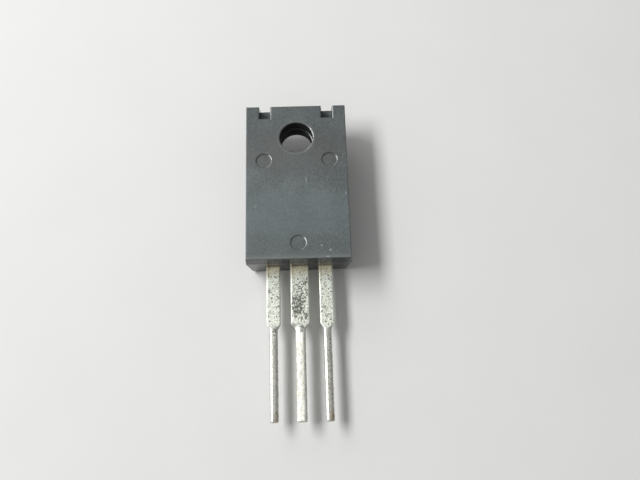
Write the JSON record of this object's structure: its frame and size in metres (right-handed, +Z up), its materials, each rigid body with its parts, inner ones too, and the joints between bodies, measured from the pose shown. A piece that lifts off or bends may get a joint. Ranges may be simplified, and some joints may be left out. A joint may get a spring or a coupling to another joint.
{
  "type": "transistor",
  "caption": "Power transistor in a flat, fully moulded case with a stepped screw tab, ejector marks and straight stepped leads, for bolting to a heat sink and soldering to a board.",
  "frame": {"origin": "centre of the bottom of the bounding box, under the part as it lies on its front face", "axes": "+Z up out of the flat mounting face, +Y along the case towards the screw hole, leads towards -Y, +X to the right seen from above"},
  "size_m": [0.01, 0.0312, 0.0044],
  "materials": {
    "moulding_compound": "fine matt moulded epoxy, slightly glossier on the end wall",
    "tinned_copper": "dull speckled tin on copper, brighter where dipped in solder",
    "silicon": "polished",
    "solder": "dull",
    "bond_wire": "drawn wire"
  },
  "bodies": {
    "root": {"moulded_case": "moulding_compound", "collector_lead": "tinned_copper", "base_lead": "tinned_copper", "emitter_lead": "tinned_copper", "silicon_die": "silicon", "die_attach_solder": "solder", "base_bond_wire": "bond_wire", "emitter_bond_wire": "bond_wire"}
  },
  "joints": []
}
